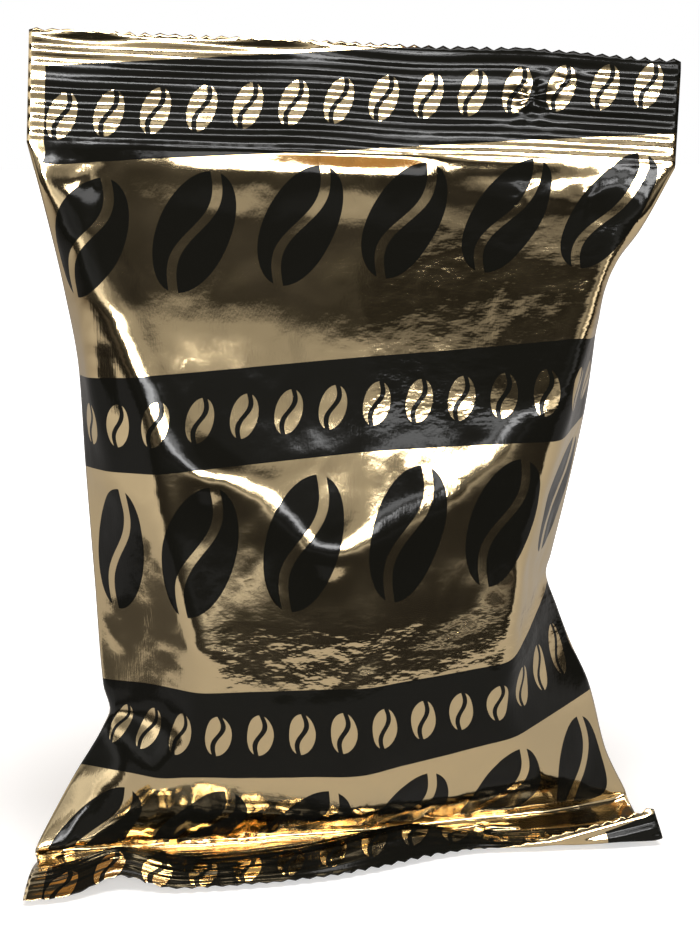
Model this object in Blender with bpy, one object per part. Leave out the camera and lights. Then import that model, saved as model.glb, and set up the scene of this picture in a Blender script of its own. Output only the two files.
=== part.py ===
"""A pillow pack of ground coffee: one tube of metallised film, crimped shut at both ends.

Metres, +Z up. The pack stands on its settled base, with its bottom seal pushed forward
on the table, its right corner dog-eared. Its front faces -Y, its width runs along X.
"""

import math

import bmesh
import bpy
import numpy as np

MM = 0.001

# The film tube, laid flat
FLAT_WIDTH = 136.0
FLAT_LENGTH = 232.0
BOTTOM_SEAL = 22.0
TOP_SEAL = 23.0
SEAL_THICKNESS = 0.9
HALF = FLAT_WIDTH / 2
NECK = FLAT_LENGTH - TOP_SEAL

# The crimp of the seals: ribs across the film, and a saw-cut edge
RIB_PITCH = 2.8
RIB_RELIEF = 0.18
TOOTH_DEPTH = 0.6
TEETH_PER_CELL = 2
RIM = 1.6

# The tuck: film folded under the front, just above the bottom seal
TUCK = 25.0
TUCK_TOP = BOTTOM_SEAL + TUCK
TUCK_DEPTH = 3.2

# Guide lines up the pack, each knot as (height along the film, x, y, z)
LEFT_FOLD = (
    (22, -68.2, -7.5, 1.2), (47, -68.5, -10, 4), (62, -60.8, -5, 17), (75, -53, -1, 28.5),
    (79, -51.7, 0, 31.5), (85, -53, 0, 37), (109, -54.3, 0, 60), (136, -55.7, 0, 86),
    (156, -56.5, 0, 105), (173, -59.1, 0, 122), (192, -62.8, 0, 139.5), (209, -65.9, 0, 152.5),
)
LEFT_FACET = (
    (47, -58, -10, 5), (62, -53, -10.5, 17), (84, -43.5, -11.5, 37), (109, -46, -11.5, 60),
    (134, -50, -10.5, 84), (153, -54, -10.5, 102), (166, -55.2, -9.5, 115),
    (180, -56, -7, 127), (192, -59.5, -3.5, 138), (209, -64, 0, 152.4),
)
LEFT_EDGE = (
    (47, -48, -10, 5), (62, -45, -15.5, 17), (84, -34, -23.4, 37), (97, -34.3, -24, 49),
    (118, -38, -21.8, 69), (134, -41, -20.5, 84), (156, -44.5, -16.5, 105),
    (172, -49.3, -12.5, 120), (188, -54, -7, 134), (209, -61, 0, 152.2),
)
MIDDLE = (
    (47, -4, -9, 5), (60, -3, -21, 13), (84, 0, -29.4, 36), (97, 0, -30, 48),
    (120, 0, -27.8, 72), (163, 1, -18, 112), (190, 2, -7.5, 135), (203, 2.6, -4, 145.6),
    (209, 3, 0, 149.6),
)
RIGHT_EDGE = (
    (47, 46, -4, 6), (60, 40, -14, 16), (84, 29.5, -23, 37), (97, 31, -23.6, 48),
    (118, 35, -21.4, 69),
    (148, 42.5, -18, 96), (172, 52, -9, 119), (186, 58, -4.5, 129), (209, 66, 0, 146.4),
)
RIGHT_FOLD = (
    (22, 65.8, -4, 1.2), (47, 65, 3, 5), (60, 59.6, 1.5, 16), (77, 54.6, 0, 33),
    (84, 50.4, 0, 42), (91, 47.1, 0, 50.5), (97, 44.6, 0, 58), (103, 45.7, 0, 62.5), (128, 49.9, 0, 80.8),
    (147, 52.9, 0, 96.3), (161, 54.3, 0, 108), (172, 55.1, 0, 118), (182, 58.5, 0, 125.6),
    (192, 64, 0, 133), (209, 71.4, 0, 146.2),
)
BACK_MIDDLE = (
    (22, 0, -6, 0.5), (26, 0, -2, 0), (44, 0, 15, 0), (55, 0, 22.5, 8.5), (68, 0, 25, 21),
    (96, 0, 24, 49), (140, 1, 16, 92), (175, 2, 8, 123), (209, 3, 0, 149.6),
)
BACK_EDGE = (
    (22, 50, -5, 0.5), (26, 46, -1, 0), (44, 39, 11, 0), (55, 38, 17, 8), (70, 37, 20, 23),
    (100, 37, 19, 52), (140, 42, 13, 91), (176, 51, 6, 124), (209, 63, 0, 148.4),
)

# Film height from which the back wall is drawn over to the front's line at the neck
BACK_BLEND = 176.0

# Ridges pressed into the front by the coffee behind it: (x, z) knots, height, half width
SWAG = ((-54, 132), (-44, 105), (-34, 89), (-22, 81), (-8, 71), (8, 74), (22, 84), (38, 100))
SWAG_HEIGHT = 2.2
SWAG_WIDTH = 9.0

# The bottom seal, seen from above: where it begins, how far forward its cut edge lies, and
# how much of that is lost where the edge is pulled in beside the dog ear and at its kink
SEAL_FRONT = 6.0
LEFT_FORWARD = 1.5
RIGHT_BACK = 2.0
SEAL_SIDE_SPREAD = (25, 22)
EDGE_REACH = 21.5
PULLED_IN = 12.0
PULL_CENTRE = 30
PULL_SPREAD = (27, 31)
KINK_CENTRE = -50
KINK_SPREAD = (8, 6)
KINK_PULL = 4.0
KINK_LIFT = 2.2
ARCH_RISE = 0.49
ARCH_FLATTENING = 0.95
ARCH_END = (14, 34)
SEAL_NARROWING = 0.985
SEAL_SHIFT = -1.2
CORNER_FLARE = 3.2

# The dog ear: the seal's right corner, stood up on this line of the film (across, height)
EAR_START = (31.0, 0.0)
EAR_END = (HALF, 8.2)
EAR_RADIUS = 1.0
EAR_ANGLE = math.radians(104)

COLUMNS = 26
BODY_ROWS = 32
GOLD = (0.80, 0.63, 0.37, 1.0)


def through(knots, height):
    """A space curve through the knots of a guide at these film heights, without overshoot."""
    table = np.array(knots, dtype=float)
    at, points = table[:, 0], table[:, 1:]
    secants = np.diff(points, axis=0) / np.diff(at)[:, None]
    before, after = secants[:-1], secants[1:]
    same = before * after > 0
    total = np.where(same, before + after, 1.0)
    inner = np.where(same, 2 * before * after / total, 0.0)
    slopes = np.concatenate([secants[:1], inner, secants[-1:]])
    span = np.clip(np.searchsorted(at, height, side="right") - 1, 0, len(at) - 2)
    width = (at[span + 1] - at[span])[:, None]
    f = np.clip((height - at[span])[:, None] / width, 0, 1)
    start, end = points[span], points[span + 1]
    return (
        (2 * f**3 - 3 * f**2 + 1) * start
        + (f**3 - 2 * f**2 + f) * width * slopes[span]
        + (3 * f**2 - 2 * f**3) * end
        + (f**3 - f**2) * width * slopes[span + 1]
    )


def mirrored(knots):
    return tuple((height, -x, y, z) for height, x, y, z in knots)


def lofted(guides, across, height, softness):
    """Rows of film across the guide lines, each row rounded over its front edges."""
    lines = np.stack([through(guide, height) for guide in guides], axis=1)
    steps = np.linalg.norm(np.diff(lines, axis=1), axis=2)
    along = np.concatenate([np.zeros((len(height), 1)), np.cumsum(steps, axis=1)], axis=1)
    along = along / along[:, -1:] * FLAT_WIDTH - HALF
    reach = softness * np.clip((HALF - np.abs(across)) / (2.5 * softness), 0, 1)
    taps = np.linspace(-2, 2, 9)
    weights = np.exp(-(taps**2) / 2)
    weights /= weights.sum()
    rows = np.zeros((len(height), len(across), 3))
    for row in range(len(height)):
        for tap, weight in zip(taps, weights):
            at = across + tap * reach
            for axis in range(3):
                rows[row, :, axis] += weight * np.interp(at, along[row], lines[row, :, axis])
    return rows


def distance_to(path, x, z):
    """How far each point of the front lies from a drawn line, and how far along it."""
    knots = np.array(path, dtype=float)
    best = np.full(np.shape(x), 1e9)
    where = np.zeros(np.shape(x))
    for number, (start, end) in enumerate(zip(knots[:-1], knots[1:])):
        step = end - start
        f = np.clip(((x - start[0]) * step[0] + (z - start[1]) * step[1]) / step.dot(step), 0, 1)
        gap = np.hypot(x - start[0] - f * step[0], z - start[1] - f * step[1])
        closer = gap < best
        best = np.where(closer, gap, best)
        where = np.where(closer, (number + f) / (len(knots) - 1), where)
    return best, where


def front_sheet(across, height):
    guides = (LEFT_FOLD, LEFT_FACET, LEFT_EDGE, MIDDLE, RIGHT_EDGE, RIGHT_FOLD)
    rows = lofted(guides, across, height, 5.0)
    gap, where = distance_to(SWAG, rows[:, :, 0], rows[:, :, 2])
    fade = np.sin(np.pi * np.clip(where * 0.9 + 0.1, 0, 1)) ** 0.5
    rows[:, :, 1] -= SWAG_HEIGHT * fade * np.clip(1 - gap / SWAG_WIDTH, 0, 1)
    return rows


def back_sheet(across, height):
    """The back wall, brought onto the front's line where both meet at the neck."""
    guides = (LEFT_FOLD, mirrored(BACK_EDGE), BACK_MIDDLE, BACK_EDGE, RIGHT_FOLD)
    neck = np.array([NECK])
    to_front = front_sheet(across, neck) - lofted(guides, across, neck, 6.0)
    near_neck = np.clip((height - BACK_BLEND) / (NECK - BACK_BLEND), 0, 1) ** 2
    return lofted(guides, across, height, 6.0) + to_front * near_neck[:, None, None]


def tuck(across, height, contour):
    """The front film between its lowest contour and the seal, folded back out of sight."""
    line = bottom_seal(across, np.array([BOTTOM_SEAL]))[0]
    rows = []
    for level in height:
        f = (TUCK_TOP - level) / TUCK
        point = contour * (1 - f) + line * f
        point[:, 1] += TUCK_DEPTH * math.sin(math.pi * f)
        rows.append(point)
    return np.array(rows)


def bump(across, centre, spread):
    return np.exp(-(((across - centre) / spread) ** 2))


def seal_line(across):
    """Where the bottom seal begins, seen from above: it runs back a little to the right."""
    left = bump(across, -HALF, SEAL_SIDE_SPREAD[0])
    right = bump(across, HALF, SEAL_SIDE_SPREAD[1])
    return -SEAL_FRONT - LEFT_FORWARD * left + RIGHT_BACK * right


def seal_reach(across):
    """How far forward the bottom seal's cut edge lies, and how much that edge is lifted."""
    spread = np.where(across > PULL_CENTRE, PULL_SPREAD[1], PULL_SPREAD[0])
    reach = EDGE_REACH - KINK_PULL * bump(across, KINK_CENTRE, KINK_SPREAD[0])
    reach -= PULLED_IN * bump(across, PULL_CENTRE, spread)
    return reach, KINK_LIFT * bump(across, KINK_CENTRE, KINK_SPREAD[1])


def bottom_seal(across, height):
    """The bottom seal, lying forward on the table; where its edge is pulled in, it arches."""
    reach, lift = seal_reach(across)
    slack = np.clip(BOTTOM_SEAL - reach, 0, None)
    flattened = np.clip((across - ARCH_END[0]) / (ARCH_END[1] - ARCH_END[0]), 0, 1)
    arch = ARCH_RISE * np.sqrt(reach * slack) * (1 - ARCH_FLATTENING * flattened)
    flat = SEAL_THICKNESS / 2 + RIB_RELIEF
    rows = np.zeros((len(height), len(across), 3))
    for row, level in enumerate(height):
        f = (BOTTOM_SEAL - level) / BOTTOM_SEAL
        flare = CORNER_FLARE * f * (across / HALF) ** 3
        rows[row, :, 0] = across * SEAL_NARROWING + SEAL_SHIFT + flare
        rows[row, :, 1] = seal_line(across) - reach * f
        rows[row, :, 2] = flat + arch * math.sin(math.pi * f) + lift * f**2
    return rows


def top_seal(across, height):
    """The top seal stands up from the neck, leaning back a little with a slight wave."""
    neck = front_sheet(across, np.array([NECK]))[0]
    rows = np.zeros((len(height), len(across), 3))
    for row, level in enumerate(height):
        rise = level - NECK
        rows[row] = neck
        rows[row, :, 0] += 0.05 * rise
        rows[row, :, 1] += 0.08 * rise + 0.03 * rise * np.sin(across / 17.0)
        rows[row, :, 2] += rise
    return rows


def normals(rows):
    """Unit normals of a grid of rows, facing the side from which it reads left to right."""
    right = np.gradient(rows, axis=1)
    up = np.gradient(rows, axis=0)
    cross = np.cross(right, up)
    return cross / np.linalg.norm(cross, axis=2, keepdims=True)


def ribs(height, start, end):
    """The crimp's wave, zero at the body side of the seal and along the cut rim."""
    wave = np.abs(((height - start) / RIB_PITCH) % 1.0 - 0.5) * 4 - 1
    inside = (height > start + 0.2) & (height < end - 0.2)
    return RIB_RELIEF * wave * inside


def dog_ear(rows, across, height):
    """Rolls the corner beyond the fold line up on edge, so that its back shows."""
    start, end = np.array(EAR_START), np.array(EAR_END)
    line = (end - start) / np.linalg.norm(end - start)
    away = np.array([line[1], -line[0]])
    folded = rows.copy()
    for row, level in enumerate(height):
        for column, place in enumerate(across):
            beyond = (np.array([place, level]) - start).dot(away)
            if beyond <= 0:
                continue
            crease = np.array([place, level]) - away * beyond
            base = bottom_seal(np.array([crease[0]]), np.array([max(crease[1], 0.0)]))[0, 0]
            turn = min(beyond / EAR_RADIUS, EAR_ANGLE)
            straight = beyond - turn * EAR_RADIUS
            forward = EAR_RADIUS * math.sin(turn) + straight * math.cos(turn)
            rise = EAR_RADIUS * (1 - math.cos(turn)) + straight * math.sin(turn)
            heading = np.array([away[0], away[1], 0.0])
            folded[row, column] = base + heading * forward + np.array([0, 0, rise])
    return folded


def film_heights():
    """Row heights: a crest and a trough for each rib, then even rows up the body."""
    low = list(np.arange(RIM, BOTTOM_SEAL - 0.4, RIB_PITCH / 2)) + [BOTTOM_SEAL]
    tucked = list(np.linspace(BOTTOM_SEAL, TUCK_TOP, 6)[1:])
    body = list(np.linspace(TUCK_TOP, NECK, BODY_ROWS)[1:])
    high = list(np.arange(NECK + RIB_PITCH / 2, FLAT_LENGTH - RIM, RIB_PITCH / 2))
    return np.array(low), np.array(tucked + body), np.array(high + [FLAT_LENGTH - RIM])


def sheet(side, across, low, body, high):
    """One wall of the pack, from cut edge to cut edge: side +1 is the front, -1 the back."""
    seal = bottom_seal(across, low)
    crimp = ribs(low, RIM, BOTTOM_SEAL)
    neck_crimp = ribs(high, NECK, FLAT_LENGTH - RIM)
    if side > 0:
        contour = front_sheet(across, np.array([TUCK_TOP]))[0]
        tucked = body[body < TUCK_TOP]
        above = front_sheet(across, body[len(tucked):])
        wall = np.concatenate([tuck(across, tucked, contour), above])
    else:
        wall = back_sheet(across, body)
    crown = top_seal(across, high)
    whole = np.concatenate([seal, wall, crown])
    heights = np.concatenate([low, body, high])
    facing = normals(whole)
    whole = dog_ear(whole, across, heights)
    facing[: len(low)] = normals(whole[: len(low)])
    relief = np.concatenate([crimp, np.zeros(len(body)), neck_crimp])[:, None, None]
    whole = whole + facing * relief
    return whole + side * facing * SEAL_THICKNESS / 2


def build_bag():
    across = np.linspace(-HALF, HALF, COLUMNS + 1)
    low, body, high = film_heights()
    mesh = bmesh.new()
    walls = [sheet(side, across, low, body, high) for side in (1, -1)]
    rims = [saw_edges(side, across) for side in (1, -1)]
    place_base = min(float(wall[:, :, 2].min()) for wall in walls + [np.stack(rim) for rim in rims])
    points = np.concatenate([wall.reshape(-1, 3) for wall in walls])
    middle = (points.max(axis=0) + points.min(axis=0)) / 2

    def vertex(point):
        return mesh.verts.new(
            (
                (point[0] - middle[0]) * MM,
                (point[1] - middle[1]) * MM,
                max(point[2] - place_base, 0.0) * MM,
            )
        )

    grids = [[[vertex(point) for point in row] for row in wall] for wall in walls]
    edges = [[[vertex(point) for point in row] for row in rim] for rim in rims]
    for grid, turn in zip(grids, (1, -1)):
        for lower, upper in zip(grid[:-1], grid[1:]):
            for column in range(COLUMNS):
                corners = [lower[column], lower[column + 1], upper[column + 1], upper[column]]
                mesh.faces.new(corners[::turn])
    for (grid, rim), turn in zip(zip(grids, edges), (1, -1)):
        for end, border, order in ((0, rim[0], -1), (-1, rim[1], 1)):
            per_cell = TEETH_PER_CELL * 2
            for column in range(COLUMNS):
                saw = border[column * per_cell : (column + 1) * per_cell + 1]
                loop = [grid[end][column], grid[end][column + 1]] + saw[::-1]
                mesh.faces.new(loop[:: turn * order])
    front, back = grids
    for end in (0, -1):
        order = -1 if end else 1
        rim_front, rim_back = edges[0][0 if end == 0 else 1], edges[1][0 if end == 0 else 1]
        for left in range(len(rim_front) - 1):
            corners = [rim_front[left], rim_back[left], rim_back[left + 1], rim_front[left + 1]]
            mesh.faces.new(corners[::order])
    for column, order in ((0, 1), (-1, -1)):
        front_line = [edges[0][0][column]] + [row[column] for row in front] + [edges[0][1][column]]
        back_line = [edges[1][0][column]] + [row[column] for row in back] + [edges[1][1][column]]
        for low_end in range(len(front_line) - 1):
            corners = [
                front_line[low_end],
                front_line[low_end + 1],
                back_line[low_end + 1],
                back_line[low_end],
            ]
            mesh.faces.new(corners[::order])
    bmesh.ops.recalc_face_normals(mesh, faces=mesh.faces)
    data = bpy.data.meshes.new("bag")
    mesh.to_mesh(data)
    mesh.free()
    data.shade_smooth()
    data.set_sharp_from_angle(angle=math.radians(40))
    bag = bpy.data.objects.new("bag", data)
    bpy.context.scene.collection.objects.link(bag)
    return bag


def saw_edges(side, across):
    """The two cut edges of a wall, with the saw teeth that a crimping jaw's knife leaves."""
    count = COLUMNS * TEETH_PER_CELL * 2
    fine = np.linspace(-HALF, HALF, count + 1)
    teeth = np.where(np.arange(count + 1) % 2 == 1, 0.0, TOOTH_DEPTH)
    edges = []
    for builder, level, inward in ((bottom_seal, 0.0, 1), (top_seal, FLAT_LENGTH, -1)):
        near = builder(fine, np.array([level, level + inward * TOOTH_DEPTH]))
        far = builder(fine, np.array([level + inward * RIM]))
        order = np.concatenate([near[:1], far]) if inward > 0 else np.concatenate([far, near[:1]])
        if inward > 0:
            order = dog_ear(order, fine, np.array([level, level + RIM]))
            near_row = dog_ear(near, fine, np.array([level, level + TOOTH_DEPTH]))
        else:
            near_row = near
        facing = normals(order)[0]
        depth = (teeth / TOOTH_DEPTH)[:, None]
        edge = near_row[0] * (1 - depth) + near_row[1] * depth
        edges.append(edge + side * facing * SEAL_THICKNESS / 2)
    return edges


def gold_film():
    """Metallised film, gold all over: the print is left to the finish."""
    film = bpy.data.materials.new("gold film")
    film.use_nodes = True
    shader = film.node_tree.nodes["Principled BSDF"]
    shader.inputs["Base Color"].default_value = GOLD
    shader.inputs["Metallic"].default_value = 1.0
    shader.inputs["Roughness"].default_value = 0.18
    return film


for old in list(bpy.data.objects):
    bpy.data.objects.remove(old)
bag = build_bag()
bag.data.materials.append(gold_film())
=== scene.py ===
"""The looks of a pillow pack of ground coffee in gold metallised film, standing on a table."""

import math

import bpy
import numpy as np
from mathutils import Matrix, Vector, noise


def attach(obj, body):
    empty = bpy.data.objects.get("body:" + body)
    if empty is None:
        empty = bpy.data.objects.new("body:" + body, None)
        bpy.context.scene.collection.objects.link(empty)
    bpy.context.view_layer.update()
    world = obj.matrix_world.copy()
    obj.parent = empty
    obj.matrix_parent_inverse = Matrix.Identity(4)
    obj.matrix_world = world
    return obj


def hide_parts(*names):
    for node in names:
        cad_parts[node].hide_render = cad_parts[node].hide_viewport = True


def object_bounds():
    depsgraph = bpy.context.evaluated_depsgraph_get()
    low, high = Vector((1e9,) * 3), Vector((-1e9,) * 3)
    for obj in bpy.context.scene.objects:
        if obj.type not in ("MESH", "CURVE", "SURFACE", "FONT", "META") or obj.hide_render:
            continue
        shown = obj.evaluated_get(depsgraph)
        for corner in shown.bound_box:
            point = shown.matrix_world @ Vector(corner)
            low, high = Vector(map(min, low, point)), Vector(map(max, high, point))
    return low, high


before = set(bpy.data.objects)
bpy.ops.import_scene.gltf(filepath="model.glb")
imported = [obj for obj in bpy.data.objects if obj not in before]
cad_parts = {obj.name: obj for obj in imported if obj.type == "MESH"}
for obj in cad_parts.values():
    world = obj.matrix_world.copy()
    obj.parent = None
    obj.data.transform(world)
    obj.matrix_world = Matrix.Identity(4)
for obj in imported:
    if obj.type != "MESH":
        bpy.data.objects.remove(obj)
cad_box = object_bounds()
MM = 0.001


# The film tube: one web of metallised film, printed, folded round and welded up its back.
# Laid flat it is 136 mm wide and 232 mm long. The coffee has settled in its lower part,
# so each wall is lofted over guide lines that run up the filled pack.
FLAT_WIDTH = 136.0
FLAT_LENGTH = 232.0
BOTTOM_SEAL = 22.0
TOP_SEAL = 23.0
FILM = 0.32
HALF = FLAT_WIDTH / 2
NECK = FLAT_LENGTH - TOP_SEAL
TUCK = 25.0
TUCK_TOP = BOTTOM_SEAL + TUCK
TUCK_DEPTH = 3.2
TEETH = 44
QUARTERS = 4
COLUMNS = TEETH * QUARTERS
SEAL_ROWS = 59
TUCK_ROWS = 14
BODY_ROWS = 136

# Guide lines up the pack, each knot as (height along the film, x, y, z)
LEFT_FOLD = (
    (22, -68.2, -7.5, 1.2), (47, -68.5, -10, 4), (62, -60.8, -5, 17), (75, -53, -1, 28.5),
    (79, -51.7, 0, 31.5), (85, -53, 0, 37), (109, -54.3, 0, 60), (136, -55.7, 0, 86),
    (156, -56.5, 0, 105), (173, -59.1, 0, 122), (192, -62.8, 0, 139.5), (209, -65.9, 0, 152.5),
)
LEFT_FACET = (
    (47, -58, -10, 5), (62, -53, -10.5, 17), (84, -43.5, -11.5, 37), (109, -46, -11.5, 60),
    (134, -50, -10.5, 84), (153, -54, -10.5, 102), (166, -55.2, -9.5, 115),
    (180, -56, -7, 127), (192, -59.5, -3.5, 138), (209, -64, 0, 152.4),
)
LEFT_EDGE = (
    (47, -48, -10, 5), (62, -45, -15.5, 17), (84, -34, -23.4, 37), (97, -34.3, -24, 49),
    (118, -38, -21.8, 69), (134, -41, -20.5, 84), (156, -44.5, -16.5, 105),
    (172, -49.3, -12.5, 120), (188, -54, -7, 134), (209, -61, 0, 152.2),
)
MIDDLE = (
    (47, -4, -9, 5), (60, -3, -21, 13), (84, 0, -29.4, 36), (97, 0, -30, 48),
    (120, 0, -27.8, 72), (163, 1, -18, 112), (190, 2, -7.5, 135), (203, 2.6, -4, 145.6),
    (209, 3, 0, 149.6),
)
RIGHT_EDGE = (
    (47, 46, -4, 6), (60, 40, -14, 16), (84, 29.5, -23, 37), (97, 31, -23.6, 48),
    (118, 35, -21.4, 69),
    (148, 42.5, -18, 96), (172, 52, -9, 119), (186, 58, -4.5, 129), (209, 66, 0, 146.4),
)
RIGHT_FOLD = (
    (22, 65.8, -4, 1.2), (47, 65, 3, 5), (60, 59.6, 1.5, 16), (77, 54.6, 0, 33),
    (84, 50.4, 0, 42), (91, 47.1, 0, 50.5), (97, 44.6, 0, 58), (103, 45.7, 0, 62.5),
    (128, 49.9, 0, 80.8), (147, 52.9, 0, 96.3), (161, 54.3, 0, 108), (172, 55.1, 0, 118),
    (182, 58.5, 0, 125.6), (192, 64, 0, 133), (209, 71.4, 0, 146.2),
)
BACK_MIDDLE = (
    (22, 0, -6, 0.5), (26, 0, -2, 0), (44, 0, 15, 0), (55, 0, 22.5, 8.5), (68, 0, 25, 21),
    (96, 0, 24, 49), (140, 1, 16, 92), (175, 2, 8, 123), (209, 3, 0, 149.6),
)
BACK_EDGE = (
    (22, 50, -5, 0.5), (26, 46, -1, 0), (44, 39, 11, 0), (55, 38, 17, 8), (70, 37, 20, 23),
    (100, 37, 19, 52), (140, 42, 13, 91), (176, 51, 6, 124), (209, 63, 0, 148.4),
)
# How softly the two walls turn across their guides, and where the back nears the front
FRONT_SOFTNESS = 2.3
BACK_SOFTNESS = 6.0
BACK_BLEND = 176.0


def through(knots, height):
    """A space curve through the knots of a guide at these film heights, without overshoot."""
    table = np.array(knots, dtype=float)
    at, points = table[:, 0], table[:, 1:]
    secants = np.diff(points, axis=0) / np.diff(at)[:, None]
    before, after = secants[:-1], secants[1:]
    same = before * after > 0
    total = np.where(same, before + after, 1.0)
    inner = np.where(same, 2 * before * after / total, 0.0)
    slopes = np.concatenate([secants[:1], inner, secants[-1:]])
    span = np.clip(np.searchsorted(at, height, side="right") - 1, 0, len(at) - 2)
    width = (at[span + 1] - at[span])[:, None]
    f = np.clip((height - at[span])[:, None] / width, 0, 1)
    start, end = points[span], points[span + 1]
    return (
        (2 * f**3 - 3 * f**2 + 1) * start
        + (f**3 - 2 * f**2 + f) * width * slopes[span]
        + (3 * f**2 - 2 * f**3) * end
        + (f**3 - f**2) * width * slopes[span + 1]
    )


def mirrored(knots):
    return tuple((height, -x, y, z) for height, x, y, z in knots)


def lofted(guides, across, height, softness):
    """Rows of film across the guide lines, rounded over its front edges by this softness."""
    lines = np.stack([through(guide, height) for guide in guides], axis=1)
    steps = np.linalg.norm(np.diff(lines, axis=1), axis=2)
    along = np.concatenate([np.zeros((len(height), 1)), np.cumsum(steps, axis=1)], axis=1)
    along = along / along[:, -1:] * FLAT_WIDTH - HALF
    reach = softness * np.clip((HALF - np.abs(across)) / (2.5 * softness), 0, 1)
    taps = np.linspace(-2, 2, 9)
    weights = np.exp(-(taps**2) / 2)
    weights /= weights.sum()
    rows = np.zeros((len(height), len(across), 3))
    for row in range(len(height)):
        for tap, weight in zip(taps, weights):
            at = across + tap * reach
            for axis in range(3):
                rows[row, :, axis] += weight * np.interp(at, along[row], lines[row, :, axis])
    return rows


def front_sheet(across, height):
    guides = (LEFT_FOLD, LEFT_FACET, LEFT_EDGE, MIDDLE, RIGHT_EDGE, RIGHT_FOLD)
    return lofted(guides, across, height, FRONT_SOFTNESS)


def back_sheet(across, height):
    """The back wall, brought onto the front's line where both meet at the neck."""
    guides = (LEFT_FOLD, mirrored(BACK_EDGE), BACK_MIDDLE, BACK_EDGE, RIGHT_FOLD)
    neck = np.array([NECK])
    to_front = front_sheet(across, neck) - lofted(guides, across, neck, BACK_SOFTNESS)
    near_neck = np.clip((height - BACK_BLEND) / (NECK - BACK_BLEND), 0, 1) ** 2
    return lofted(guides, across, height, BACK_SOFTNESS) + to_front * near_neck[:, None, None]


# The seals: the tube's ends, pressed flat between ribbed hot jaws and cut by a saw knife.
# The top one stands up; the bottom one is pushed forward on the table and arches where
# it is short of room, and its right corner is folded up as a dog ear.
RIB_PITCH = 2.8
RIB_RELIEF = 0.09
TOOTH_DEPTH = 0.6
# How far forward the bottom seal lies, where its cut edge is kinked up, and where it is
# pulled in, with the reach of that pull to the left and to the right
SEAL_REACH = 21.5
KINK_AT = -50.0
KINK_PULL = 4.0
KINK_LIFT = 2.2
PULL_AT = 30.0
PULL_DEPTH = 12.0
PULL_SPREAD = (27.0, 31.0)
ARCH_RISE = 0.8
# How far the top seal leans aside, leans back and waves for each mm of its height, and the
# strip at its cut edge that curls
SEAL_ASIDE = 0.05
SEAL_LEAN = 0.08
SEAL_WAVE = 0.03
CURL = 3.6
EAR_START = (31.0, 0.0)
EAR_END = (HALF, 8.2)
EAR_RADIUS = 0.8
EAR_ANGLE = math.radians(104)


def bump(across, centre, spread):
    return np.exp(-(((across - centre) / spread) ** 2))


def seal_line(across):
    """Where the bottom seal begins, seen from above: it runs back a little to the right."""
    return -6.0 - 1.5 * bump(across, -HALF, 25) + 2.0 * bump(across, HALF, 22)


def bottom_seal(across, height):
    """The bottom seal's rows: forward on the table, and arched where its edge is pulled in."""
    spread = np.where(across > PULL_AT, PULL_SPREAD[1], PULL_SPREAD[0])
    reach = SEAL_REACH - KINK_PULL * bump(across, KINK_AT, 8)
    reach = reach - PULL_DEPTH * bump(across, PULL_AT, spread)
    lift = KINK_LIFT * bump(across, KINK_AT, 6)
    arch = np.sqrt(0.375 * reach * np.clip(BOTTOM_SEAL - reach, 0, None)) * ARCH_RISE
    arch *= 1 - 0.95 * np.clip((across - 14) / 20, 0, 1)
    flat = FILM / 2 + RIB_RELIEF + 0.25
    rows = np.zeros((len(height), len(across), 3))
    for row, level in enumerate(height):
        f = (BOTTOM_SEAL - level) / BOTTOM_SEAL
        rows[row, :, 0] = across * 0.985 - 1.2 + 3.2 * f * (across / HALF) ** 3
        rows[row, :, 1] = seal_line(across) - reach * f
        rows[row, :, 2] = flat + arch * math.sin(math.pi * f) + lift * f**2
    return rows


def tuck(across, height, contour):
    """The front film between its lowest contour and the seal, folded back out of sight."""
    line = bottom_seal(across, np.array([BOTTOM_SEAL]))[0]
    rows = []
    for level in height:
        f = (TUCK_TOP - level) / TUCK
        point = contour * (1 - f) + line * f
        point[:, 1] += TUCK_DEPTH * math.sin(math.pi * f)
        rows.append(point)
    return np.array(rows)


def top_seal(across, height):
    """The top seal's rows, standing up from the neck with a slight wave."""
    neck = front_sheet(across, np.array([NECK]))[0]
    rows = np.zeros((len(height), len(across), 3))
    for row, level in enumerate(height):
        rise = level - NECK
        curl = max(0.0, rise - TOP_SEAL + CURL) / CURL
        rows[row] = neck
        rows[row, :, 0] += SEAL_ASIDE * rise
        rows[row, :, 1] += SEAL_LEAN * rise + SEAL_WAVE * rise * np.sin(across / 17.0)
        rows[row, :, 1] += curl**2 * (
            0.5 - 1.6 * bump(across, -56, 9) - 1.4 * bump(across, -19, 13)
        )
        rows[row, :, 2] += rise * (1 + 0.03 * bump(across, 36, 16))
    return rows


def dog_ear(rows, across, height):
    """Rolls the corner beyond the fold line up on edge, so that its back shows."""
    start, end = np.array(EAR_START), np.array(EAR_END)
    line = (end - start) / np.linalg.norm(end - start)
    away = np.array([line[1], -line[0]])
    folded = rows.copy()
    for row, level in enumerate(height):
        beyond = (across - start[0]) * away[0] + (level - start[1]) * away[1]
        past = beyond > 0
        if not past.any():
            continue
        far = beyond[past]
        crease_across = across[past] - away[0] * far
        crease_height = np.clip(level - away[1] * far, 0, None)
        base = np.array([
            bottom_seal(np.array([place]), np.array([rise]))[0, 0]
            for place, rise in zip(crease_across, crease_height)
        ])
        turn = np.minimum(far / EAR_RADIUS, EAR_ANGLE)
        straight = far - turn * EAR_RADIUS
        forward = EAR_RADIUS * np.sin(turn) + straight * np.cos(turn)
        rise = EAR_RADIUS * (1 - np.cos(turn)) + straight * np.sin(turn)
        folded[row, past] = base + np.stack([away[0] * forward, away[1] * forward, rise], axis=1)
    return folded


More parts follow.
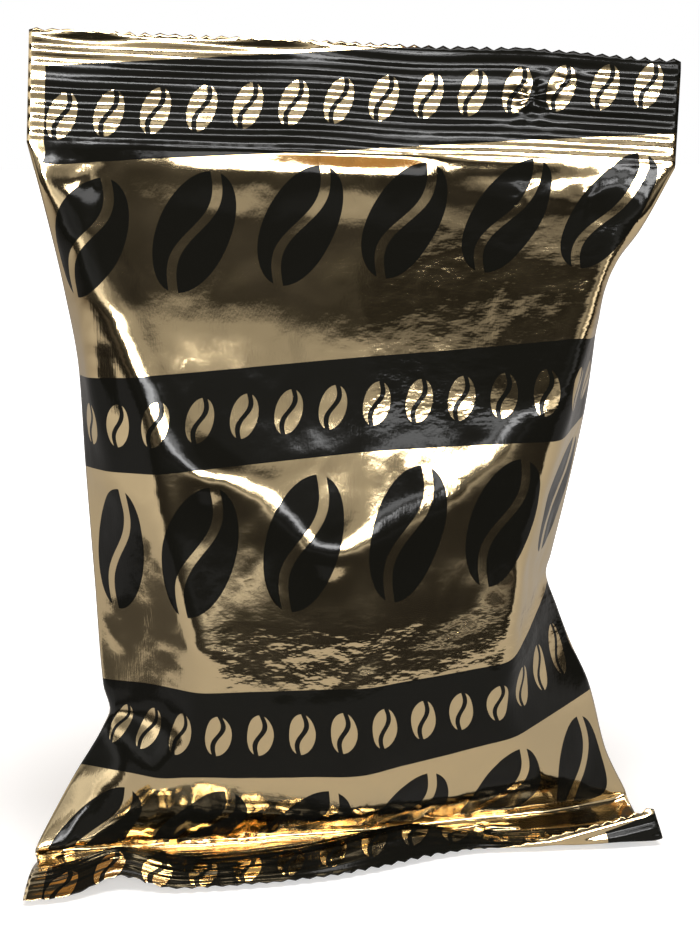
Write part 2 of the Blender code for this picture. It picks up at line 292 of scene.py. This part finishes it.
def ribs(across, height, start, end):
    """The crimp's shallow wave, uneven along each rib, which dies out at the seal's two edges."""
    drift = np.array([noise.noise(Vector((place / 28, start, 2.0))) for place in across])
    turns = (height[:, None] - start + 1.1 * drift[None, :]) / RIB_PITCH
    wave = np.cos(turns * 2 * math.pi)
    fade = np.clip((height - start) / 0.8, 0, 1) * np.clip((end - height) / 0.8, 0, 1)
    grip = np.array([
        [noise.noise(Vector((place / 24, level / 3.2, start + 7.0))) for place in across]
        for level in height
    ])
    return RIB_RELIEF * (1 + 1.1 * grip) * wave * fade[:, None]


# Creases of the front: where the slack film above the coffee hangs in a swag, and where
# the sides are pinched. Each is a path on the front, its height and its half width, in mm.
# CREST is how far a crease stays level to each side of its path.
CREST = 0.8
CREASES = (
    (((-54.6, 133), (-50, 121), (-45, 108), (-41, 99), (-36.5, 91), (-31, 86)), 1.2, 5.0),
    (((-31, 86), (-20, 82.5), (-17, 78.7), (-11.5, 72.6), (-7, 71.3)), 1.3, 5.5),
    (((-7, 71.3), (2.4, 75.6), (14.6, 80.5), (21.4, 84.5), (37, 98)), 1.6, 9.0),
    (((37, 98), (46, 108), (54, 118)), 0.9, 5.0),
    (((-51.7, 31.5), (-47, 27), (-43, 20)), 0.9, 3.5),
    (((-50, 83), (-45, 79), (-41.5, 72), (-37, 60), (-34, 50)), 0.8, 4.0),
    (((45, 56), (38, 50), (30, 40)), 0.8, 4.0),
    (((-28, 52), (-14, 47), (4, 49), (20, 56)), -0.5, 5.0),
    (((-47, 96), (-36, 105), (-20, 112)), -0.25, 6.0),
    (((30, 66), (40, 61), (45, 57)), -0.6, 3.5),
    (((-61, 147), (-54, 144)), -0.9, 2.6),
    (((22, 144), (36, 141), (50, 142), (62, 141)), -0.8, 3.2),
)


def distance_to(path, x, z):
    """How far each point of the front lies from a path."""
    knots = np.array(path, dtype=float)
    best = np.full(np.shape(x), 1e9)
    for start, end in zip(knots[:-1], knots[1:]):
        step = end - start
        f = np.clip(((x - start[0]) * step[0] + (z - start[1]) * step[1]) / step.dot(step), 0, 1)
        best = np.minimum(best, np.hypot(x - start[0] - f * step[0], z - start[1] - f * step[1]))
    return best


def creased(rows):
    """How far the creases push each point of the front out."""
    relief = np.zeros(rows.shape[:2])
    for path, rise, spread in CREASES:
        gap = np.clip(distance_to(path, rows[:, :, 0], rows[:, :, 2]) - CREST, 0, None)
        relief += rise * np.exp(0.77 - np.sqrt((gap / spread * 1.6) ** 2 + 0.6))
    return relief


# Buckles of the stiff film: the seeds of its wrinkles, the rolled edge over the bottom
# seal, and small hard crumples, each at its place on the film, with its height and size.
FRONT_SEED = 3.0
BACK_SEED = 40.0
ROLL_RISE = 1.4
CRUMPLES = (
    (36, 222, 1.1, 3.2), (43, 226, 0.6, 2.2), (31, 23, 1.8, 3.0), (-47, 20, 0.8, 4.0),
    (-33, 33, 1.2, 4.5), (-22, 36, 0.9, 3.5), (-44, 35, 0.8, 3.0),
    (-57, 203, -0.8, 2.6), (38, 200, -0.5, 3.0), (52, 199, -0.6, 3.0),
)


def crinkle(rows, across, heights, side):
    """Fine buckles of stiff film: pleats at the seals, faint facets, and a leathery grain."""
    seed = FRONT_SEED if side > 0 else BACK_SEED
    relief = np.zeros(rows.shape[:2])
    for row, level in enumerate(heights):
        near_top = math.exp(-abs(NECK - level) / 5)
        near_seal = math.exp(-abs(level - BOTTOM_SEAL - 5) / 6)
        near_tuck = math.exp(-abs(level - TUCK_TOP) / 9)
        open_film = min(1.0, max(0.0, NECK - level) / 10, max(0.0, level - BOTTOM_SEAL) / 10)
        for column, place in enumerate(across):
            x, y, z = rows[row, column]
            pleat = noise.noise(Vector((place / 5, level / 40, seed)))
            pleat += 0.5 * noise.noise(Vector((place / 2.2, level / 30, seed + 5)))
            wide = noise.noise(Vector((place / 20, level / 14, seed + 11)))
            facet = abs(noise.noise(Vector((x / 17, y / 17 + seed, z / 17))))
            small = abs(noise.noise(Vector((x / 6, y / 6 + seed, z / 6 + 9))))
            grain = noise.noise(Vector((x / 3.2, y / 3.2 + seed, z / 2.6)))
            leather = 0.02 + 0.1 * math.exp(-((x - 25) / 32) ** 2 - ((z - 118) / 22) ** 2)
            leather += 0.13 * math.exp(-((x + 8) / 26) ** 2 - ((z - 48) / 6) ** 2)
            slack = 1 - 0.7 * min(1.0, max(0.0, place - 20) / 15)
            relief[row, column] = (
                0.3 * pleat * near_top
                + 0.25 * wide * (1 - open_film) * (level > NECK)
                + slack * pleat * (0.5 * near_seal + 0.8 * near_tuck)
                + open_film * (0.45 * (facet - 0.2) + 0.12 * (small - 0.2) + leather * grain)
            )
    pressed = (heights > NECK - 4) | (heights < BOTTOM_SEAL + 1)
    relief[pressed] = np.maximum(relief[pressed], -0.3 * FILM)
    roll = np.exp(-(((heights - BOTTOM_SEAL - 1.5) / 2.4) ** 2)) * (side > 0)
    ends = np.clip((HALF + across) / 12, 0, 1) * np.clip((42 - across) / 14, 0, 1)
    relief += ROLL_RISE * roll[:, None] * ends
    for centre, middle, rise, size in CRUMPLES:
        in_seal = middle > NECK or middle < BOTTOM_SEAL
        if side < 0:
            rise *= -1 if in_seal else 0
        aside = across[None, :] - centre
        above = heights[:, None] - middle
        gap = np.hypot(aside, above)
        star = 0.5 + 0.5 * np.cos(5 * np.arctan2(above, aside) + centre)
        relief += rise * np.exp(-gap / size) * star
    return relief


def facing(rows):
    """Unit normals of a grid of rows, towards the side it reads left to right from."""
    cross = np.cross(np.gradient(rows, axis=1), np.gradient(rows, axis=0))
    return cross / np.linalg.norm(cross, axis=2, keepdims=True)


# The two walls on one grid: a column for every quarter tooth, and rows close enough to
# carry the ribs of the seals. They meet along their rim, which stays calm.
RIM_ROUNDING = 1.2
CALM_RIM = 4.0
heights = np.concatenate([
    np.linspace(0, BOTTOM_SEAL, SEAL_ROWS + 1)[:-1],
    np.linspace(BOTTOM_SEAL, TUCK_TOP, TUCK_ROWS + 1)[:-1],
    np.linspace(TUCK_TOP, NECK, BODY_ROWS + 1)[:-1],
    np.linspace(NECK, FLAT_LENGTH, SEAL_ROWS + 1),
])
across = np.linspace(-HALF, HALF, COLUMNS + 1)
in_bottom = heights < BOTTOM_SEAL
in_tuck = (heights >= BOTTOM_SEAL) & (heights < TUCK_TOP)
in_body = (heights >= TUCK_TOP) & (heights < NECK)
in_wall = in_tuck | in_body
in_top = heights >= NECK
ragged = np.array([1 + noise.noise(Vector((place / 6, 0.5, 4.0))) for place in across])
tooth = np.abs((np.arange(COLUMNS + 1) / QUARTERS) % 1.0 - 0.5) * 2 * TOOTH_DEPTH * ragged


def wall(side):
    """One wall of the pack from cut edge to cut edge: side 1 is the front, -1 the back."""
    low = bottom_seal(across, heights[in_bottom])
    high = top_seal(across, heights[in_top])
    if side > 0:
        contour = front_sheet(across, np.array([TUCK_TOP]))[0]
        folded = tuck(across, heights[in_tuck], contour)
        at_fold = np.clip(1 - (HALF - np.abs(across)) / 5, 0, 1)[None, :, None] ** 2
        folded += (back_sheet(across, heights[in_tuck]) - folded) * at_fold
        body = front_sheet(across, heights[in_body])
        inside = np.clip((HALF - np.abs(across)) / 4, 0, 1)
        body = body + facing(body) * (creased(body) * inside)[:, :, None]
        middle = np.concatenate([folded, body])
    else:
        middle = back_sheet(across, heights[in_wall])
    whole = dog_ear(np.concatenate([low, middle, high]), across, heights)
    normal = facing(whole)
    step_in = whole[3] - whole[0]
    step_in /= np.linalg.norm(step_in, axis=1, keepdims=True)
    rim = np.minimum(HALF - np.abs(across)[None, :], 40.0)
    rim = np.minimum(rim, np.minimum(heights, FLAT_LENGTH - heights)[:, None])
    edge = np.clip(rim / RIM_ROUNDING, 0, 1)
    relief = side * crinkle(whole, across, heights, side) * np.clip(rim / CALM_RIM, 0, 1)
    relief += ribs(across, heights, 0.0, BOTTOM_SEAL) * in_bottom[:, None] * edge
    relief += ribs(across, heights, NECK, FLAT_LENGTH) * in_top[:, None] * edge
    whole = whole + normal * (relief + side * edge * FILM / 2)[:, :, None]
    whole[0] += step_in * tooth[:, None]
    whole[1] += step_in * tooth[:, None] * 0.45
    whole[-1, :, 2] -= tooth
    whole[-2, :, 2] -= tooth * 0.45
    return whole


# One unit of the UV map, in mm of film
UV_SPAN = 100.0


def film_sheet(name, points, around, levels):
    """A flat grid, shaped to these points, that keeps its place on the film as its UV."""
    bpy.ops.object.select_all(action="DESELECT")
    bpy.ops.mesh.primitive_grid_add(
        x_subdivisions=len(around) - 1, y_subdivisions=len(levels) - 1, size=1, location=(0, 0, 0)
    )
    sheet = bpy.context.object
    sheet.name = name
    mesh = sheet.data
    mesh.vertices.foreach_set("co", points.reshape(-1) * MM)
    place = np.stack(np.meshgrid(around, levels), axis=2).reshape(-1, 2)
    loops = np.zeros(len(mesh.loops), dtype=np.int32)
    mesh.loops.foreach_get("vertex_index", loops)
    film_place = mesh.uv_layers[0]
    film_place.name = "film"
    film_place.data.foreach_set("uv", (place[loops] / UV_SPAN).reshape(-1))
    return sheet


def welded(outer, inner):
    """Two sheets joined along their shared rim into one closed skin."""
    inner.data.flip_normals()
    bpy.ops.object.select_all(action="DESELECT")
    inner.select_set(True)
    outer.select_set(True)
    bpy.context.view_layer.objects.active = outer
    bpy.ops.object.join()
    bpy.ops.object.mode_set(mode="EDIT")
    bpy.ops.mesh.select_all(action="SELECT")
    bpy.ops.mesh.remove_doubles(threshold=0.00001)
    bpy.ops.mesh.select_all(action="DESELECT")
    bpy.ops.object.mode_set(mode="OBJECT")
    bpy.ops.object.shade_smooth()
    return outer


walls = [wall(1), wall(-1)]
points = np.concatenate([points.reshape(-1, 3) for points in walls])
corner_low, corner_high = (np.array(corner) / MM for corner in cad_box)
shift = (corner_low + corner_high) / 2 - (points.min(axis=0) + points.max(axis=0)) / 2
shift[2] = -points[:, 2].min()
round_back = np.where(across > 0, FLAT_WIDTH - across, -FLAT_WIDTH - across)
front = film_sheet("film_pack", walls[0] + shift, across, heights)
back = film_sheet("film_back", walls[1] + shift, round_back, heights)
pack = welded(front, back)
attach(pack, "root")
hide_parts("bag")


# The fin seam up the back: the tube's two long edges, welded face to face and laid over
# to one side. It is pressed into the top seal, and runs down out of sight under the pack.
FIN_WIDTH = 10.0
FIN_THICKNESS = 0.5
FIN_SUNK = 0.1
FIN_FOOT = 48.0

fin_columns = (across > -0.5) & (across < FIN_WIDTH)
fin_rows = heights > FIN_FOOT
fin_across = across[fin_columns]
fin_heights = heights[fin_rows]
fin_base = walls[1][fin_rows][:, fin_columns] + shift
fin_out = -facing(walls[1])[fin_rows][:, fin_columns]
column = np.arange(len(fin_across))
inner_columns = np.clip(column, 0, 1) * np.clip(column[::-1], 0, 1)
row = np.arange(len(fin_heights))
inner_rows = np.clip(row, 0, 1) * np.clip(row[::-1], 0, 1)
pressed = 1 - 0.5 * np.clip((fin_heights - NECK) / 2, 0, 1)
fin_rise = FIN_THICKNESS * (pressed * inner_rows)[:, None] * inner_columns[None, :]
sunk = FIN_SUNK * inner_rows[:, None] * inner_columns[None, :]
fin_print = -FLAT_WIDTH - fin_across
fin_face = film_sheet("fin_seam", fin_base + fin_out * fin_rise[:, :, None], fin_print, fin_heights)
fin_under = film_sheet("fin_under", fin_base - fin_out * sunk[:, :, None], fin_print, fin_heights)
fin_face.data.flip_normals()
fin_under.data.flip_normals()
fin = welded(fin_face, fin_under)
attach(fin, "root")


# The finish of the film: bright gold metal under clear lacquer, with glossy black print.
# The print runs a little askew to the seals. It is worked out from the place on the film,
# in mm: bands with small clear beans, and a row of large beans below each.
PRINT_REPEAT = 69.0
BAND_HEIGHT = 20.5
BAND_TOP = 22.0
SEAL_SLIP = 4.5
PRINT_SKEW = math.tan(math.radians(3.8))
BEAN_PITCH = 22.7
BEAN_SIZE = (8.2, 14.2)
BEAN_CENTRE = BAND_HEIGHT + 17.5
BEAN_LEAN = math.radians(16)
DROP_PITCH = 9.4
DROP_SIZE = (2.9, 4.8)
FRONT_PRINT = (-64.6, 80.0)
BACK_PRINT = 104.0
PRINT_EDGE = 0.03
GOLD = (0.80, 0.63, 0.37, 1.0)
INK = (0.0042, 0.0040, 0.0030, 1.0)


class Wiring:
    """Short forms for the math of a node tree."""

    def __init__(self, tree):
        self.tree = tree

    def node(self, kind, **settings):
        made = self.tree.nodes.new(kind)
        for name, value in settings.items():
            setattr(made, name, value)
        return made

    def math(self, operation, *values, clamp=False):
        made = self.node("ShaderNodeMath", operation=operation, use_clamp=clamp)
        for socket, value in zip(made.inputs, values):
            self.put(socket, value)
        return made.outputs[0]

    def put(self, socket, value):
        if isinstance(value, bpy.types.NodeSocket):
            self.tree.links.new(value, socket)
        else:
            socket.default_value = value

    def step(self, value, low, high):
        made = self.node("ShaderNodeMapRange", interpolation_type="SMOOTHSTEP")
        self.put(made.inputs["Value"], value)
        made.inputs["From Min"].default_value = low
        made.inputs["From Max"].default_value = high
        return made.outputs["Result"]


def bean_mask(wire, along, up, size, lean, slit):
    """A coffee bean seen from its flat side: an oval with a curved slit down its middle."""
    across_bean = wire.math(
        "SUBTRACT", wire.math("MULTIPLY", along, math.cos(lean)),
        wire.math("MULTIPLY", up, math.sin(lean)),
    )
    up_bean = wire.math(
        "ADD", wire.math("MULTIPLY", along, math.sin(lean)),
        wire.math("MULTIPLY", up, math.cos(lean)),
    )
    oval = wire.math(
        "ADD",
        wire.math("POWER", wire.math("DIVIDE", across_bean, size[0]), 2.0),
        wire.math("POWER", wire.math("DIVIDE", up_bean, size[1]), 2.0),
    )
    inside = wire.step(oval, 1.006, 0.994)
    bend = wire.math(
        "MULTIPLY", wire.math("SINE", wire.math("MULTIPLY", up_bean, math.pi / size[1])),
        size[0] * 0.28,
    )
    gap = wire.math("ABSOLUTE", wire.math("SUBTRACT", across_bean, bend))
    return wire.math("MULTIPLY", inside, wire.step(gap, slit * 0.97, slit * 1.03))


def film_print():
    """A group that gives the ink, 1 where the film is printed black."""
    group = bpy.data.node_groups.new("film print", "ShaderNodeTree")
    group.interface.new_socket("Ink", in_out="OUTPUT", socket_type="NodeSocketFloat")
    wire = Wiring(group)
    place = wire.node("ShaderNodeUVMap", uv_map="film")
    parts = wire.node("ShaderNodeSeparateXYZ")
    group.links.new(place.outputs["UV"], parts.inputs[0])
    along = wire.math("MULTIPLY", parts.outputs["X"], UV_SPAN)
    up = wire.math("MULTIPLY", parts.outputs["Y"], UV_SPAN)
    level = wire.math("SUBTRACT", up, wire.math("MULTIPLY", along, PRINT_SKEW))
    level = wire.math("SUBTRACT", level, BAND_TOP)
    slipped = wire.math("MULTIPLY", wire.step(up, 44.0, 24.0), SEAL_SLIP)
    turned = wire.math("MULTIPLY", wire.step(up, 195.0, 212.0),
                       wire.math("ADD", 1.5, wire.math("MULTIPLY", along, 0.027)))
    level = wire.math("SUBTRACT", wire.math("ADD", level, slipped), turned)
    below = wire.math("MULTIPLY", wire.math("FRACT", wire.math("DIVIDE", level, PRINT_REPEAT)),
                      PRINT_REPEAT)
    from_top = wire.math("SUBTRACT", PRINT_REPEAT, below)
    band = wire.math(
        "MULTIPLY", wire.step(from_top, -PRINT_EDGE, PRINT_EDGE),
        wire.step(from_top, BAND_HEIGHT + PRINT_EDGE, BAND_HEIGHT - PRINT_EDGE),
    )
    drop_along = wire.math("SUBTRACT", wire.math("MULTIPLY", wire.math("FRACT", wire.math(
        "DIVIDE", along, DROP_PITCH)), DROP_PITCH), DROP_PITCH / 2)
    drops = bean_mask(wire, drop_along, wire.math("SUBTRACT", BAND_HEIGHT / 2, from_top),
                      DROP_SIZE, BEAN_LEAN, 0.55)
    band = wire.math("SUBTRACT", band, wire.math("MULTIPLY", band, drops))
    bean_along = wire.math("SUBTRACT", wire.math("MULTIPLY", wire.math("FRACT", wire.math(
        "DIVIDE", wire.math("ADD", along, HALF), BEAN_PITCH)), BEAN_PITCH), BEAN_PITCH / 2)
    beans = bean_mask(wire, bean_along, wire.math("SUBTRACT", BEAN_CENTRE, from_top),
                      BEAN_SIZE, BEAN_LEAN, 1.1)
    in_body = wire.math("MULTIPLY", wire.step(up, 24.0, 40.0), wire.step(up, 208.0, 192.0))
    left_end = wire.math("SUBTRACT", FRONT_PRINT[0], wire.math("MULTIPLY", in_body, 8.0))
    past_left = wire.math("SUBTRACT", along, left_end)
    front = wire.math(
        "MULTIPLY", wire.step(past_left, -PRINT_EDGE, PRINT_EDGE),
        wire.step(along, FRONT_PRINT[1] + PRINT_EDGE, FRONT_PRINT[1] - PRINT_EDGE),
    )
    back = wire.step(wire.math("ABSOLUTE", along), BACK_PRINT - PRINT_EDGE, BACK_PRINT + PRINT_EDGE)
    ink = wire.math("MULTIPLY", wire.math("MAXIMUM", band, beans), wire.math("ADD", front, back))
    ink = wire.math("GREATER_THAN", ink, 0.5)
    out = wire.node("NodeGroupOutput")
    group.links.new(ink, out.inputs["Ink"])
    return group


def gold_film():
    film = bpy.data.materials.new("gold film")
    film.use_nodes = True
    tree = film.node_tree
    shader = tree.nodes["Principled BSDF"]
    wire = Wiring(tree)
    ink = wire.node("ShaderNodeGroup", node_tree=film_print()).outputs["Ink"]
    colour = wire.node("ShaderNodeMix", data_type="RGBA")
    wire.put(colour.inputs[0], ink)
    colour.inputs[6].default_value = GOLD
    colour.inputs[7].default_value = INK
    tree.links.new(colour.outputs[2], shader.inputs["Base Color"])
    tree.links.new(wire.math("SUBTRACT", 1.0, ink), shader.inputs["Metallic"])
    shader.inputs["Specular IOR Level"].default_value = 0.14
    coordinates = wire.node("ShaderNodeTexCoord")
    stretch = wire.node("ShaderNodeMapping")
    stretch.inputs["Scale"].default_value = (2600, 2600, 110)
    tree.links.new(coordinates.outputs["Object"], stretch.inputs["Vector"])
    streak = wire.node("ShaderNodeTexNoise")
    streak.inputs["Scale"].default_value = 1.0
    streak.inputs["Detail"].default_value = 3.0
    tree.links.new(stretch.outputs["Vector"], streak.inputs["Vector"])
    cloud = wire.node("ShaderNodeTexNoise")
    cloud.inputs["Scale"].default_value = 70.0
    cloud.inputs["Detail"].default_value = 4.0
    tree.links.new(coordinates.outputs["Object"], cloud.inputs["Vector"])
    roughness = wire.math("ADD", 0.05, wire.math("MULTIPLY", cloud.outputs["Fac"], 0.11))
    tree.links.new(roughness, shader.inputs["Roughness"])
    grain = wire.node("ShaderNodeTexNoise")
    grain.inputs["Scale"].default_value = 420.0
    grain.inputs["Detail"].default_value = 4.0
    tree.links.new(coordinates.outputs["Object"], grain.inputs["Vector"])
    relief = wire.math("ADD", wire.math("MULTIPLY", streak.outputs["Fac"], 0.5),
                       grain.outputs["Fac"])
    squash = wire.node("ShaderNodeMapping")
    squash.inputs["Scale"].default_value = (300, 300, 620)
    tree.links.new(coordinates.outputs["Object"], squash.inputs["Vector"])
    leather = wire.node("ShaderNodeTexNoise")
    leather.inputs["Scale"].default_value = 1.0
    leather.inputs["Detail"].default_value = 2.0
    tree.links.new(squash.outputs["Vector"], leather.inputs["Vector"])
    position = wire.node("ShaderNodeSeparateXYZ")
    tree.links.new(coordinates.outputs["Object"], position.inputs[0])
    low_zone = wire.math("MULTIPLY", wire.step(position.outputs["Z"], 0.040, 0.046),
                         wire.step(position.outputs["Z"], 0.062, 0.052))
    low_zone = wire.math("MULTIPLY", low_zone, wire.step(position.outputs["X"], -0.038, -0.028))
    high_zone = wire.math("MULTIPLY", wire.step(position.outputs["Z"], 0.092, 0.1),
                          wire.step(position.outputs["Z"], 0.142, 0.13))
    high_zone = wire.math("MULTIPLY", high_zone, wire.step(position.outputs["X"], -0.012, 0.01))
    zones = wire.math("ADD", wire.math("MULTIPLY", low_zone, 4.2),
                      wire.math("MULTIPLY", high_zone, 3.2))
    relief = wire.math("ADD", relief, wire.math("MULTIPLY", leather.outputs["Fac"], zones))
    relief_bump = wire.node("ShaderNodeBump")
    relief_bump.inputs["Strength"].default_value = 0.35
    relief_bump.inputs["Distance"].default_value = 0.0001
    tree.links.new(relief, relief_bump.inputs["Height"])
    tree.links.new(relief_bump.outputs["Normal"], shader.inputs["Normal"])
    return film


film = gold_film()
for piece in (pack, fin):
    piece.data.materials.clear()
    piece.data.materials.append(film)


# The stage: a table top and a plain pale wall of light round it. The camera sees the table plain
# white. Every other ray sees painted reflections on it: pale round the pack and brighter further
# out, dark from about 140 mm in front of the pack outward where it stands in for the dim room, and
# a dark spot to the pack's left.
FLOOR_SIZE = 6.0
bpy.ops.object.select_all(action="DESELECT")
bpy.ops.mesh.primitive_plane_add(size=FLOOR_SIZE, location=(0, 0, -0.0002))
floor = bpy.context.object
floor.name = "table_top"
table = bpy.data.materials.new("table with painted reflections")
table.use_nodes = True
top = Wiring(table.node_tree)
table_place = top.node("ShaderNodeTexCoord")
table_parts = top.node("ShaderNodeSeparateXYZ")
table.node_tree.links.new(table_place.outputs["Object"], table_parts.inputs[0])
far = top.math("SQRT", top.math(
    "ADD", top.math("POWER", table_parts.outputs["X"], 2.0),
    top.math("POWER", table_parts.outputs["Y"], 2.0),
))
# Painted reflection: dark from about 140 mm in front of the pack outward, greyer far off, and pale
# nearer
pale_reflection_zone = top.step(table_parts.outputs["Y"], -0.146, -0.138)
painted_dark_reflection = top.math("ADD", 0.014, top.math(
    "MULTIPLY", top.step(table_parts.outputs["Y"], -0.34, -1.0), 0.2))
painted_pale_reflection = top.math("ADD", 0.43, top.math("MULTIPLY", top.step(far, 0.12, 0.5), 0.16))
# Painted reflection: a dark spot about 60 mm across, some 170 mm to the left of the pack
aside = top.math("SQRT", top.math(
    "ADD", top.math("POWER", top.math("ADD", table_parts.outputs["X"], 0.172), 2.0),
    top.math("POWER", top.math("SUBTRACT", table_parts.outputs["Y"], 0.028), 2.0),
))
painted_pale_reflection = top.math("MULTIPLY", painted_pale_reflection, top.math(
    "ADD", 0.15, top.math("MULTIPLY", top.step(aside, 0.026, 0.034), 0.85)))
ray = top.node("ShaderNodeLightPath")
# Painted reflection tone, seen by every ray but the camera's
painted_reflection_tone = top.node("ShaderNodeMix", data_type="RGBA")
top.put(painted_reflection_tone.inputs[0], pale_reflection_zone)
top.put(painted_reflection_tone.inputs[6], painted_dark_reflection)
top.put(painted_reflection_tone.inputs[7], painted_pale_reflection)
camera_tone = top.node("ShaderNodeMix", data_type="RGBA")
top.put(camera_tone.inputs[0], ray.outputs["Is Camera Ray"])
table.node_tree.links.new(painted_reflection_tone.outputs[2], camera_tone.inputs[6])
camera_tone.inputs[7].default_value = (0.85, 0.85, 0.85, 1)
board = table.node_tree.nodes["Principled BSDF"]
table.node_tree.links.new(camera_tone.outputs[2], board.inputs["Base Color"])
# Only the camera sees the table glow white, more so away from the pack, so that it reads evenly
# bright; this glow lights nothing
board.inputs["Emission Color"].default_value = (1, 1, 1, 1)
top.put(board.inputs["Emission Strength"],
        top.math("MULTIPLY", top.math("ADD", 0.3, top.step(far, 0.06, 0.32)),
                 ray.outputs["Is Camera Ray"]))
board.inputs["Roughness"].default_value = 1.0
board.inputs["Specular IOR Level"].default_value = 0.0
floor.data.materials.append(table)

# The light: a dim room with a bright band above the horizon and a warm ceiling, a long low
# window, two softboxes, a pale side wall and a ceiling lamp.
world = bpy.data.worlds.new("room")
bpy.context.scene.world = world
bpy.context.scene.view_settings.view_transform = "Standard"
world.use_nodes = True
room = Wiring(world.node_tree)
direction = room.node("ShaderNodeTexCoord")
parts = room.node("ShaderNodeSeparateXYZ")
world.node_tree.links.new(direction.outputs["Generated"], parts.inputs[0])
ramp = room.node("ShaderNodeValToRGB")
world.node_tree.links.new(room.math("ADD", room.math("MULTIPLY", parts.outputs["Z"], 0.5), 0.5),
                          ramp.inputs[0])
bands = ramp.color_ramp.elements
bands[0].position = 0.0
bands[0].color = (0.02, 0.02, 0.02, 1)
bands[1].position = 1.0
bands[1].color = (0.45, 0.27, 0.11, 1)
for position, value in (
    (0.5, 0.03), (0.555, 0.05), (0.575, 1.3), (0.62, 1.1), (0.655, 0.34), (0.7, 0.3),
    (0.74, 0.32), (0.775, 0.1), (0.79, 0.025), (0.83, 0.03), (0.88, 0.05), (0.93, 0.08),
):
    element = bands.new(position)
    element.color = (value, value * 0.97, value * 0.93, 1)
bands.new(0.955).color = (0.5, 0.26, 0.08, 1)
patches = room.node("ShaderNodeTexNoise")
patches.inputs["Scale"].default_value = 2.6
patches.inputs["Detail"].default_value = 1.5
world.node_tree.links.new(direction.outputs["Generated"], patches.inputs["Vector"])
furnished = room.node("ShaderNodeMix", data_type="RGBA", blend_type="MULTIPLY")
furnished.inputs[0].default_value = 1.0
world.node_tree.links.new(ramp.outputs["Color"], furnished.inputs[6])
world.node_tree.links.new(
    room.math("ADD", 0.55, room.math(
        "MULTIPLY", room.step(patches.outputs["Fac"], 0.4, 0.6), 0.55)),
    furnished.inputs[7],
)
light_path = room.node("ShaderNodeLightPath")
seen = room.node("ShaderNodeMix", data_type="RGBA")
room.put(seen.inputs[0], light_path.outputs["Is Camera Ray"])
world.node_tree.links.new(furnished.outputs[2], seen.inputs[6])
seen.inputs[7].default_value = (1.0, 1.0, 1.0, 1)
world.node_tree.links.new(seen.outputs[2], world.node_tree.nodes["Background"].inputs["Color"])


def soft_lamp(name, place, aim, size, power):
    lamp = bpy.data.lights.new(name, "AREA")
    lamp.shape = "RECTANGLE"
    lamp.size, lamp.size_y = size
    lamp.energy = power
    holder = bpy.data.objects.new(name, lamp)
    holder.location = place
    holder.rotation_euler = (Vector(aim) - Vector(place)).to_track_quat("-Z", "Y").to_euler()
    bpy.context.scene.collection.objects.link(holder)


soft_lamp("window", (-0.1, -1.2, 0.27), (0, 0, 0.08), (1.5, 0.12), 18.0)
soft_lamp("left softbox", (-0.43, -1.12, 0.35), (0, 0, 0.1), (0.8, 0.16), 4.5)
soft_lamp("right softbox", (0.42, -1.14, 0.45), (0, 0, 0.08), (0.62, 0.12), 2.3)
soft_lamp("side wall", (-0.95, -0.45, 0.62), (0, 0, 0.05), (0.8, 0.7), 0.8)
soft_lamp("ceiling", (0.05, -0.45, 1.25), (0, 0, 0), (1.0, 0.45), 11.0)

# The camera: a little above the pack and to its left, close in front of it
AZIMUTH = math.radians(-9)
ELEVATION = math.radians(11)
DISTANCE = 0.44
TARGET = np.array((0.0, -5.0, 84.0)) + shift
PIXEL_FOCUS = 2070
FRAME_HEIGHT = 934
SENSOR = 36.0
back_to_camera = Vector((
    math.sin(AZIMUTH) * math.cos(ELEVATION),
    -math.cos(AZIMUTH) * math.cos(ELEVATION),
    math.sin(ELEVATION),
))
lens = bpy.data.cameras.new("camera")
lens.sensor_width = SENSOR
lens.lens = SENSOR * PIXEL_FOCUS / FRAME_HEIGHT
camera = bpy.data.objects.new("camera", lens)
camera.location = Vector(TARGET * MM) + back_to_camera * DISTANCE
camera.rotation_euler = back_to_camera.to_track_quat("Z", "Y").to_euler()
bpy.context.scene.collection.objects.link(camera)
bpy.context.scene.camera = camera
